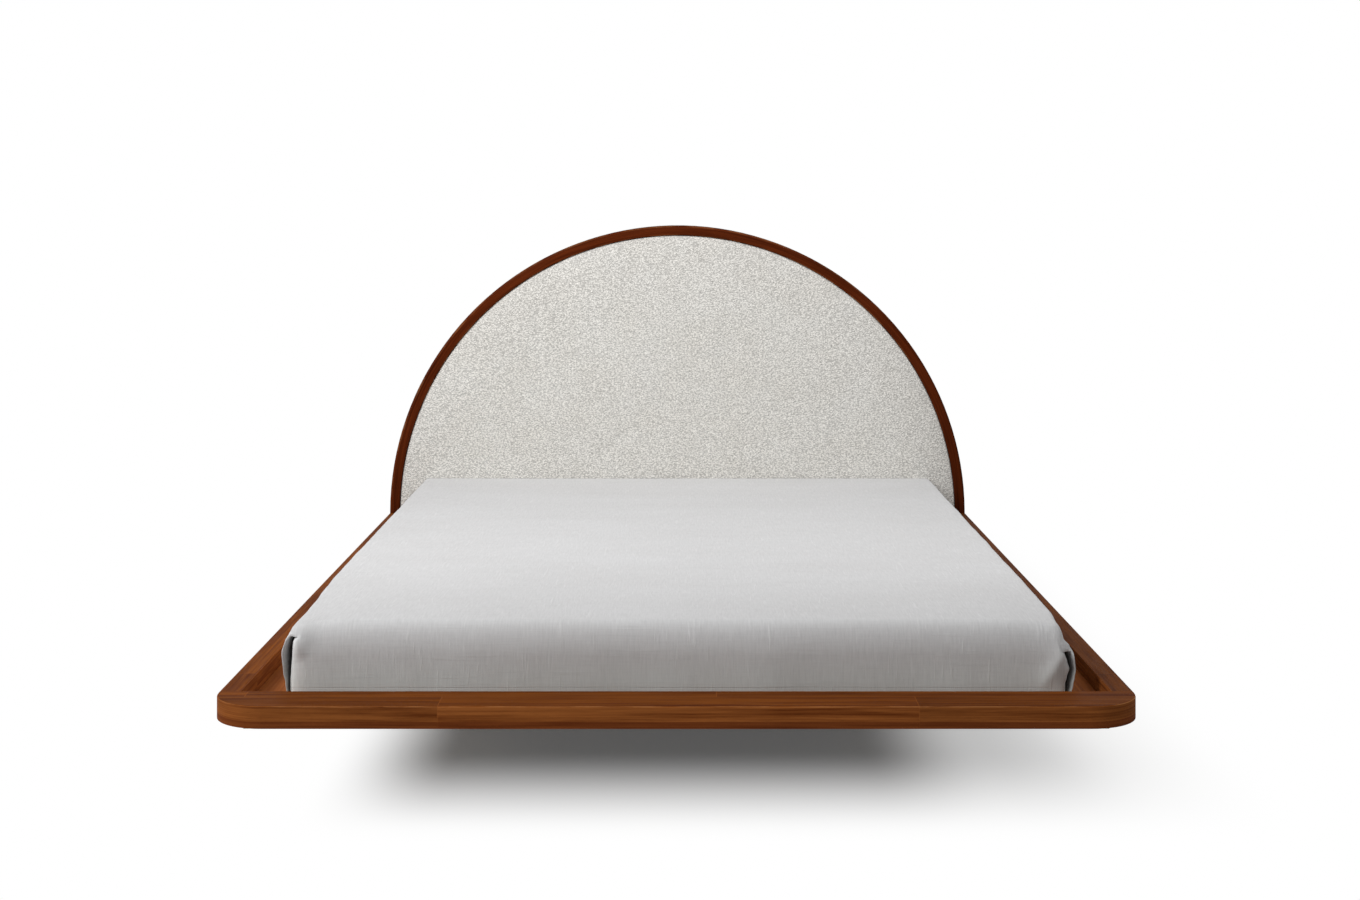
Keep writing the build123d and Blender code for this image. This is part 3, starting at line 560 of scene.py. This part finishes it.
def linen():
    """Washed linen: crossing threads with slubs, and a stitched line along the hem."""
    finish = Finish("washed_linen")
    u, v, _ = finish.place("UV")
    weft = finish.grain(u * 14, v * 330, 0.0, 3.0, 0.6)
    warp = finish.grain(u * 260, v * 24, 4.0, 4.0, 0.65, 0.4)
    slub_weft = finish.grain(u * 6, v * 120, 7.0, 2.0).step(0.56, 0.74)
    slub_warp = finish.grain(u * 150, v * 13, 11.0, 2.0, 0.55, 0.5).step(0.56, 0.74)
    cloud = finish.grain(u * 2.2, v * 5, 2.0, 3.0)
    tone = 0.93 + (weft - 0.5) * 0.1 + (warp - 0.5) * 0.3 + (cloud - 0.5) * 0.07
    tone = tone - slub_weft * 0.03 + slub_warp * 0.06

    hem = finish.kept("hem")
    line = 1 - (hem - hem_width).size().step(*stitch_edge)
    dash = (finish.kept("round") * stitches_per_metre).fraction().step(*stitch_gap)
    tone = tone - line * dash * stitch_dark
    # Painted light toward the hem, against the shade of the rail
    tone = tone * (1 + hem_painted_light - hem.step(0.0, hem_painted_light_height) * hem_painted_light)
    # Painted shade in and beside the corner folds, kept in the deep attribute
    tone = tone * (1 - finish.kept("deep") * painted_fold_shade_strength)
    colour = finish.shade(finish.mix(cloud, paint(222, 221, 221), paint(226, 226, 227)), tone)
    colour = finish.mix(1 - hem.step(0.0, drape_tint_height), colour, drape_tint, "MULTIPLY")
    relief = weft + warp + slub_weft * 0.3 + slub_warp * 0.8 - line * 1.2
    return finish.surface({
        "Base Color": colour,
        "Roughness": 0.92,
        "Sheen Weight": 0.15,
        "Normal": finish.bump(relief, 0.0006, 0.6),
    })


def boucle():
    """Looped off-white wool: small curls with shadow between them."""
    finish = Finish("boucle_wool")
    x, y, z = finish.place()
    bend = finish.grain(x * 160, y * 160, z * 160, 2.0)
    spot = finish.point(x * 0.9 + bend * 0.006, y, z * 1.5 + bend * 0.006)
    loops = finish.cells(spot, "SMOOTH_F1", {"Scale": 190.0, "Smoothness": 0.2})
    small = finish.cells(spot, "F1", {"Scale": 430.0})
    fleck = finish.grain(x * 230, y * 230, z * 300, 3.0)
    cloud = finish.grain(x * 9, y * 9, z * 9, 3.0)
    height = (1 - loops * 1.15) + (1 - small) * 0.35 + fleck * 0.5
    hollow = (loops * 1.3 + small * 0.4).step(0.45, 1.15)
    tone = 1.045 - hollow * 0.44 + (fleck - 0.5) * 0.62 + (cloud - 0.5) * 0.03
    colour = finish.shade(finish.mix(cloud, paint(242, 238, 230), paint(248, 246, 241)), tone)
    return finish.surface({
        "Base Color": colour,
        "Roughness": 0.95,
        "Sheen Weight": 0.2,
        "Normal": finish.bump(height, 0.0022, 0.8),
    })


def ticking():
    """White knitted mattress ticking with a small quilted figure."""
    finish = Finish("knitted_ticking")
    x, y, z = finish.place()
    ribs = ((x + y) * 55).fraction()
    cross = ((x - y) * 55).fraction()
    quilt = (ribs - 0.5).size() * (cross - 0.5).size()
    knit = finish.grain(x * 500, y * 500, z * 500, 2.0)
    return finish.surface({
        "Base Color": finish.shade(paint(232, 232, 229), 0.9 + knit * 0.14 + quilt * 0.25),
        "Roughness": 0.9,
        "Normal": finish.bump(quilt * 4 + knit * 0.4, 0.002, 0.6),
    })


def zinc():
    """Zinc-plated steel, slightly clouded."""
    finish = Finish("zinc_plate")
    x, y, z = finish.place()
    cloud = finish.grain(x * 180, y * 180, z * 180, 3.0)
    brushed = finish.grain(x * 900, y * 90, z * 900, 2.0)
    return finish.surface({
        "Base Color": finish.mix(cloud, paint(176, 178, 182), paint(204, 204, 200)),
        "Metallic": 1.0,
        "Roughness": 0.28 + cloud * 0.2,
        "Normal": finish.bump(brushed, 0.0001, 0.4),
    })


def nylon():
    """Dark moulded nylon with a fine grain."""
    finish = Finish("moulded_nylon")
    x, y, z = finish.place()
    grain = finish.grain(x * 1400, y * 1400, z * 1400, 2.0)
    return finish.surface({
        "Base Color": finish.shade(paint(52, 52, 54), 0.9 + grain * 0.2),
        "Roughness": 0.5 + grain * 0.2,
        "Normal": finish.bump(grain, 0.0002, 0.5),
    })


def dress(names, material):
    """Gives CAD nodes their finish."""
    for name in names:
        for slot in nodes[name].material_slots:
            slot.material = material


def dress_headboard_and_platform():
    """The walnut that shows, the headboard's panels, and the slats with their pegs."""
    for node, (name, grain, tone, strip, start, top_painted_shade) in rails.items():
        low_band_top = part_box(node)[0].z + low_band_height if node == "front_rail" else 0.0
        dress([node], wood(name, walnut, grain, tone, strip, start, low_band_top=low_band_top,
                           top_painted_shade=top_painted_shade, **rail_look))
    for node, (name, grain, tone, start) in ledges.items():
        dress([node], wood(name, walnut, grain, tone, ledge_strip, (start, 0.0), figure=0.7))
    for node, (name, colours, grain, strip, start, more) in headboard_parts.items():
        dress([node], wood(name, colours, grain, 1.0, strip, (start, 0.0), **more))
    for node in nodes:
        if node.startswith("slat_") and node != "slat_pegs":
            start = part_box(node)[0].y - slat_gap
            tone = 1.0 + slat_spread * math.sin(70 * start)
            dress([node], wood(node + "_birch", birch, "X", tone, slat_strip, (start, 0.0), figure=0.7))
    dress(pegs, wood("beech_peg", beech, "Z", 1.0, peg_strip, peg_start))


def dress_frame():
    """The dark-stained timber of frame and plinth, with its grain along each piece."""
    timber = [name for name in nodes if nodes[name].data.materials[0].name == "dark_stained_wood"]
    across = ["plinth_front", "plinth_rear", "front_ledger", "rear_ledger", "headboard_bottom_rail",
              "headboard_top_brace"] + [name for name in nodes if name.startswith("cross_joist")]
    upright = ["left_headboard_post", "right_headboard_post"]
    upright += [name for name in nodes if name.endswith("corner_block")]
    lengthways = [name for name in timber if name not in across + upright]
    for names, grain in ((across, "X"), (upright, "Z"), (lengthways, "Y")):
        dress(names, wood("stained_timber_" + grain, stained, grain, 1.0, frame_strip, frame_start))


def curve_point(corners, share):
    """A point of the smooth line that control points draw, from the first of them to the last."""
    points = [Vector(corner) for corner in corners]
    points = [points[0] * 2 - points[1], *points, points[-1] * 2 - points[-2]]
    # Each piece of the line runs from the middle of one stretch to the middle of the next
    walk = 0.5 + share * (len(points) - 3)
    first = min(int(walk), len(points) - 3)
    t = walk - first
    a, b, c = points[first:first + 3]
    return a * (0.5 * (1 - t) ** 2) + b * (0.5 + t - t * t) + c * (0.5 * t * t)


def corner_path(side, share, sunk, across, along):
    """A point of the corner at one height: out along the side, back into the fold, out to the front."""
    out, edge, open_share = between(folds[side], sunk)
    scale = along / foot_reach
    depth = min(fold_depth_limit, fold_depth_share * (out - edge)) * open_share
    wide, back = (size * scale for size in edge_round[side])
    out, edge = out * across / side_reach, edge * across / side_reach
    front = across + edge
    gap = out - edge
    lip = min(nose * scale, 0.3 * gap)
    opened = [
        # The side cloth's folded edge
        (across + out, along - 0.02 * scale),
        (across + out, along - lip),
        (across + out - 0.3 * lip, along + 0.3 * lip),
        (across + out - lip, along - lip),
        # Into the fold and back out
        (front + 0.42 * gap, along - 0.30 * depth),
        (front + 0.22 * gap, along - 0.8 * depth),
        (front + 0.16 * gap, along - depth),
        (front + 0.04 * gap, along - 0.6 * depth),
        # The front drape's rounded edge
        (front, along - 1.3 * back),
        (front - 0.04 * wide, along - 0.6 * back),
        (front - 0.32 * wide, along - 0.12 * back),
    ]
    # Where the fold is closed, the same points lie on one round corner
    turns = [math.pi / 2 * step / len(opened) for step in range(len(opened))]
    reach = out - edge + wide
    closed = [
        (across + out - reach * (1 - math.cos(turn)), along - 1.3 * back * (1 - math.sin(turn)))
        for turn in turns
    ]
    corners = [
        (across + 0.55 * out, 0.0),
        (across + 0.7 * out, along * 0.3),
        (across + 0.88 * out, along * 0.6),
        *[Vector(a).lerp(Vector(b), open_share) for a, b in zip(closed, opened)],
        (front - wide, along),
        (across * 0.35, along),
        (0.0, along),
    ]
    return curve_point(corners, share)


def fuller(x, y):
    """How much fuller the mattress stands toward the foot, away from its sides."""
    grown = smooth((rise_start - y) / rise_length)
    return foot_rise * grown * smooth((half_width - abs(x)) / rise_fade)


def side_out(side, y, sunk):
    """How far the side drape stands out of its plane below the roll."""
    out = between(folds[side], sunk)[0]
    near_corner = math.exp(-max(y - inner_y, 0.0) / fold_hold)
    phase = wave_phase[side]
    wave = 0.5 + 0.5 * math.sin(math.tau * y / wave_length + phase)
    flute = math.sin(math.tau * y / flute_length + 2 * phase) * flute_share
    growth = wave_at_top + (1 - wave_at_top) * (sunk / cover_fall) ** wave_growth
    swell = side_wave[side] * growth * (wave + flute + wave_offset)
    return fold_pull * out * near_corner + swell * (1 - near_corner)


def ridge(x, z, start, end, height, left, right):
    """Height of one soft ridge in the front drape at a place. It fades in and out along its line."""
    start, end, spot = Vector(start), Vector(end), Vector((x, z))
    line = end - start
    along = (spot - start).dot(line) / line.length_squared
    across = (spot - start).cross(line) / line.length
    width = left if across < 0 else right
    tent = math.exp(-(math.hypot(across, ridge_tip) / width) ** ridge_profile)
    grown = smooth((along - ridge_start) / ridge_growth)
    faded = smooth((ridge_end - along) / ridge_fade)
    return height * tent * grown * faded


def front_out(x, z, sunk):
    """How far the front drape stands out of its plane: its waves, and its ridges below the roll's start."""
    fade = smooth((inner_x - abs(x)) / front_fade)
    wave = sum(math.sin(math.tau * x / length + phase) * share for length, phase, share in front_waves)
    ridges = sum(ridge(x, z, *values) for values in front_ridges)
    growth = (sunk / cover_fall) ** front_growth
    return front_wave * growth * wave * fade + ridges * smooth((sunk - ridge_below) / ridge_ease)


def cover_row(row):
    """One row of the strip: how far out at the side and at the foot, how far down, and its length so far."""
    side_flat, foot_flat = side_reach - side_roll, foot_reach - foot_roll
    if row <= flat_rows:
        share = row / flat_rows
        return side_flat * share, foot_flat * share, 0.0, foot_flat * share
    share = min((row - flat_rows) / shoulder_rows, 1.0)
    turn = math.pi / 2 * share
    across = side_flat + side_roll * math.sqrt(math.sin(turn))
    along = foot_flat + foot_roll * math.sin(turn)
    sunk = roll_fall * (1 - math.cos(turn))
    hang = straight_drop * max(row - flat_rows - shoulder_rows, 0) / drop_rows
    return across, along, sunk + hang, foot_flat + math.hypot(foot_roll, roll_fall) * share + hang


def painted_fold_shade(side, share, sunk):
    """Painted shade of the cloth at one place on the line round a corner, below 0 where a painted highlight
    makes it paler.
    """
    comes = smooth((share - painted_shade_start[side]) / dark_comes)
    goes = smooth((fold_front_share - share) / dark_goes)
    # The paler edge of the front drape is a painted highlight
    edge = smooth((share - fold_front_share + pale_before) / pale_comes)
    edge *= smooth((pale_end - share) / pale_goes)
    return (comes * goes - edge * painted_edge_light[side]) * between(folds[side], sunk)[2]


def cover_point(side, column, row):
    """Place of a point of the strip, and how much painted shade the cloth has there. Columns count from the
    head end.
    """
    out_side, out_foot, sunk, _ = cover_row(row)
    z = top_z - sunk
    painted_shade = 0.0
    if column <= side_columns:
        y = head_y + (inner_y - head_y) * column / side_columns
        x = inner_x + out_side + side_out(side, y, sunk) * out_side / side_reach
    elif column <= side_columns + corner_columns:
        share = (column - side_columns) / corner_columns
        across, down = corner_path(side, share, sunk, out_side, out_foot)
        x, y = inner_x + across, inner_y - down
        if share > fold_front_share:
            y -= front_out(side * x, z, sunk) * smooth((share - fold_front_share) / front_ease)
        painted_shade = painted_fold_shade(side, share, sunk)
    else:
        share = (column - side_columns - corner_columns) / (front_columns / 2)
        x = inner_x * (1 - share)
        y = inner_y - out_foot - front_out(side * x, z, sunk)
    if column <= side_columns + corner_columns:
        x += between(side_stand[side], y)[0] * out_side / side_reach
    # Painted shadow beside each fold, added to the fold's painted shade
    if y < inner_y - shadow_reach * out_foot:
        place_x, place_z, wide, high, strength = front_shadow[side]
        painted_shade += strength * math.exp(-((x - place_x) / wide) ** 2 - ((z - place_z) / high) ** 2)
    z += fuller(x, y) * (1 - sunk / cover_fall)
    return Vector((x * side, y, z)), painted_shade


def crease(co, height, scale, seed):
    """Height of one kind of small crease at a place."""
    across, along, up = scale
    return height * noise.noise(Vector((co.x * across, co.y * along, co.z * up + seed)))


def wrinkle(co):
    """Small creases that a washed cloth keeps: longer across the bed than along it."""
    on_top = smooth((co.z - top_z + roll_fall) / roll_fall)
    lying = crease(co, *long_crease) + crease(co, *fine_crease)
    return lying * on_top + crease(co, *hanging_crease) * (1 - on_top)


def grid_index(vert, columns, rows):
    """Column and row of a point of a fresh grid."""
    return round((vert.co.x + 1) / 2 * columns), round((vert.co.y + 1) / 2 * rows)


def bed_cover():
    """One cloth over the mattress: its top, the drapes on three sides and a fold at each corner."""
    mesh = bmesh.new()
    chart = mesh.loops.layers.uv.new("cloth")
    hem = mesh.verts.layers.float.new("hem")
    around = mesh.verts.layers.float.new("round")
    # deep: painted shade in and beside the corner folds, which darkens the linen
    deep = mesh.verts.layers.float.new("deep")
    half = side_columns + corner_columns + front_columns // 2
    rows = flat_rows + shoulder_rows + drop_rows

    # The strip runs from the head end of the left side round the foot to that of the right side
    strip = bmesh.ops.create_grid(mesh, x_segments=2 * half, y_segments=rows, size=1)["verts"]
    index = {vert: grid_index(vert, 2 * half, rows) for vert in strip}
    flat = {}
    walked = {}
    full_length = cover_row(rows)[3]
    for vert in sorted(strip, key=lambda v: index[v]):
        column, row = index[vert]
        side, place = (-1, column) if column <= half else (1, 2 * half - column)
        vert.co, vert[deep] = cover_point(side, place, row)
        last, walk = walked.get(row, (vert.co, 0.0))
        walked[row] = (vert.co.copy(), walk + (vert.co - last).length)
        out_side, out_foot, sunk, length = cover_row(row)
        vert[hem] = max(full_length - length, 0.0)
        vert[around] = walked[row][1]
        # Flat places by panel: side panels run out across X, the front panel out along Y
        flat[vert] = (side * (inner_x + out_side + sunk), vert.co.y), (vert.co.x, inner_y - out_foot - sunk)
    for face in mesh.faces:
        column = min(index[vert][0] for vert in face.verts)
        place = column if column < half else 2 * half - 1 - column
        panel = 0 if place < side_columns + corner_columns // 2 else 1
        for loop in face.loops:
            loop[chart].uv = flat[loop.vert][panel]

    top = bmesh.ops.create_grid(mesh, x_segments=front_columns, y_segments=side_columns, size=1)["verts"]
    for vert in top:
        x = inner_x * vert.co.x
        y = inner_y + (head_y - inner_y) * (vert.co.y + 1) / 2
        vert.co = (x, y, top_z + fuller(x, y))
        vert[hem] = 1.0
        for loop in vert.link_loops:
            loop[chart].uv = (x, y)
    bmesh.ops.remove_doubles(mesh, verts=mesh.verts, dist=1e-5)
    bmesh.ops.dissolve_degenerate(mesh, edges=mesh.edges, dist=1e-6)
    bmesh.ops.recalc_face_normals(mesh, faces=mesh.faces)
    mesh.normal_update()
    if max(mesh.faces, key=lambda face: face.calc_center_median().z).normal.z < 0:
        bmesh.ops.reverse_faces(mesh, faces=mesh.faces)
        mesh.normal_update()
    moves = [(vert, vert.normal * wrinkle(vert.co)) for vert in mesh.verts]
    for vert, move in moves:
        vert.co += move
    cover = new_piece("linen_cover", mesh, linen(), "bed_cover")
    wall = cover.modifiers.new("cloth", "SOLIDIFY")
    wall.thickness = cloth_thickness
    wall.offset = -1.0
    wall.use_even_offset = False


def mattress_block():
    """Mattress under the cover: a block with rolled edges and rounded corners."""
    mesh = bmesh.new()
    bmesh.ops.create_cube(mesh, size=2)
    bmesh.ops.subdivide_edges(mesh, edges=mesh.edges, cuts=mattress_cuts, use_grid_fill=True)
    size = (mattress_high - mattress_low) / 2
    middle = (mattress_high + mattress_low) / 2
    for vert in mesh.verts:
        # Points gather near the edges, where the block is rounded
        x, y, z = (math.copysign(1 - (1 - abs(c)) ** mattress_gather, c) * s for c, s in zip(vert.co, size))
        core_x = max(min(x, size.x - mattress_corner), mattress_corner - size.x)
        core_y = max(min(y, size.y - mattress_corner), mattress_corner - size.y)
        out = Vector((x - core_x, y - core_y))
        if out.length > mattress_corner:
            out = out.normalized() * mattress_corner
            x, y = core_x + out.x, core_y + out.y
        # The upper edge rolls like the cover over it, widest at the foot
        level = max(z - (size.z - roll_fall), 0.0) / roll_fall
        inset = 1 - math.sqrt(1 - level ** 2)
        foot = smooth((-y - size.y + roll_widens) / roll_widening)
        x -= x * inset * side_roll / size.x
        y -= y * inset * (side_roll + (foot_roll - side_roll) * foot) / size.y
        vert.co = middle + Vector((x, y, z + fuller(x, middle.y + y) * (z / size.z + 1) / 2))
    bmesh.ops.recalc_face_normals(mesh, faces=mesh.faces)
    block = new_piece("mattress_block", mesh, ticking(), "mattress")


def pad_outline(column, inset):
    """A point of the pad's half-round outline, drawn in by the inset: the arc, then the straight base."""
    radius = pad_radius - inset
    base = pad_low.z + inset - pad_centre_z
    start = math.asin(base / radius)
    if column <= pad_arc_columns:
        turn = start + (math.pi - 2 * start) * column / pad_arc_columns
        return radius * math.cos(turn), pad_centre_z + radius * math.sin(turn)
    share = (column - pad_arc_columns) / pad_base_columns
    width = radius * math.cos(start)
    return -width + 2 * width * share, pad_centre_z + base


def pad_face(x, z):
    """How far the pad's face stands forward of its edge: crown, puckers at the rim and one soft crease."""
    inside = max(min(pad_radius - math.hypot(x, z - pad_centre_z), z - pad_low.z), 0.0)
    crown = pad_crown * (1 - math.exp(-inside / pad_crown_reach))
    turn = math.atan2(z - pad_centre_z, x)
    pucker = noise.noise(Vector((turn * pucker_scale, 3.0, 1.0)))
    pucker = pucker * pucker_height * math.exp(-inside / pucker_reach)
    swell = noise.noise(Vector((x * swell_scale, z * swell_scale, 5.0))) * swell_height
    curls = noise.noise(Vector((x * curl_across, z * curl_up, 8.0))) * curl_height
    spot = Vector((x, z))
    line = crease_end - crease_start
    along = (spot - crease_start).dot(line) / line.length_squared
    nearest = crease_start.lerp(crease_end, min(max(along, 0.0), 1.0))
    soft_crease = crease_depth * math.exp(-((spot - nearest).length / crease_width) ** 2)
    return crown + pucker + swell * (inside > swell_margin) - soft_crease + curls


def headboard_pad():
    """Foam under looped wool, held in the rim: a crowned half disc with rounded edges and a flat back."""
    mesh = bmesh.new()
    columns = pad_arc_columns + pad_base_columns
    rows = pad_rows + pad_edge_rows + 2
    front_y = pad_low.y + pad_crown
    back_y = pad_high.y
    middle = (0.0, pad_low.z + pad_middle_up)
    # The grid's rows run from the middle of the face to its edge, round it, and to the middle of the back
    grid = bmesh.ops.create_grid(mesh, x_segments=columns, y_segments=rows, size=1)["verts"]
    for vert in grid:
        column, row = grid_index(vert, columns, rows)
        if row <= pad_rows:
            edge = Vector(pad_outline(column, pad_edge_radius))
            x, z = Vector(middle).lerp(edge, row / pad_rows)
            y = front_y - pad_face(x, z)
        elif row <= pad_rows + pad_edge_rows:
            turn = math.pi / 2 * (row - pad_rows) / pad_edge_rows
            x, z = pad_outline(column, pad_edge_radius * (1 - math.sin(turn)))
            y = front_y - pad_face(x, z) * math.cos(turn) + pad_edge_radius * (1 - math.cos(turn))
        elif row == rows - 1:
            x, z = pad_outline(column, 0.0)
            y = back_y
        else:
            x, z = middle
            y = back_y
        vert.co = (x, y, z)
    bmesh.ops.remove_doubles(mesh, verts=mesh.verts, dist=1e-6)
    bmesh.ops.dissolve_degenerate(mesh, edges=mesh.edges, dist=1e-7)
    bmesh.ops.recalc_face_normals(mesh, faces=mesh.faces)
    pad = new_piece("boucle_pad", mesh, boucle(), "headboard_pad")


def pale_floor():
    """Floor that is white to the camera, and keeps the shadow where the bed stands over it."""
    finish = Finish("pale_floor")
    place = finish.place()
    keep = shadow_kept
    for axis, direction, start, end, share in shadow_fades:
        keep = keep * (1 - (place[axis] * direction).step(start, end) * share)
    seen = finish.ray("Is Camera Ray")
    matt = finish.node("BsdfDiffuse", None, {"Color": finish.mix(seen, floor_colour, floor_seen)})
    glow = finish.node("Emission", None, {"Color": white, "Strength": 1.0})
    return finish.close(finish.node("MixShader", None, {0: (1 - keep) * seen, 1: matt, 2: glow}))


def studio_world():
    """Even light on the bed, and white where the camera looks past it, also by gloss or through glass."""
    finish = Finish("studio_world", "worlds")
    seen = finish.ray("Is Camera Ray").most(finish.ray("Is Glossy Ray"))
    seen = seen.most(finish.ray("Is Transmission Ray"))
    light = finish.node("Background", None, {"Color": white, "Strength": world_light})
    backdrop = finish.node("Background", None, {"Color": white, "Strength": 1.0})
    return finish.close(finish.node("MixShader", None, {0: seen, 1: light, 2: backdrop}), "OutputWorld")


def lamp(name, place, aim, size, power):
    """A square soft lamp that points at a place."""
    data = bpy.data.lights.new(name, "AREA")
    data.size = size
    data.energy = power
    light = bpy.data.objects.new(name, data)
    light.location = place
    light.rotation_euler = (Vector(aim) - Vector(place)).to_track_quat("-Z", "Y").to_euler()
    bpy.context.scene.collection.objects.link(light)


def studio():
    """Camera, pale floor, even world light, a wide key lamp at the front left and two for the headboard."""
    scene = bpy.context.scene
    camera = bpy.data.objects.new("camera", bpy.data.cameras.new("camera"))
    camera.location = camera_place
    camera.rotation_euler = (math.radians(90), 0.0, 0.0)
    camera.data.lens = camera_lens
    camera.data.sensor_width = camera_sensor
    camera.data.shift_x, camera.data.shift_y = camera_shift
    scene.collection.objects.link(camera)
    scene.camera = camera

    mesh = bmesh.new()
    bmesh.ops.create_grid(mesh, x_segments=1, y_segments=1, size=floor_size)
    data = bpy.data.meshes.new("studio_floor")
    mesh.to_mesh(data)
    mesh.free()
    floor = bpy.data.objects.new("studio_floor", data)
    scene.collection.objects.link(floor)
    data.materials.append(pale_floor())

    scene.world = studio_world()
    for name, values in lamps.items():
        lamp(name, *values)
    scene.view_settings.view_transform = "Standard"


studio()
dress_headboard_and_platform()
dress_frame()
dress(["headboard_bolts", "headboard_nuts"], zinc())
dress(["plinth_glides"], nylon())
mattress_block()
bed_cover()
headboard_pad()
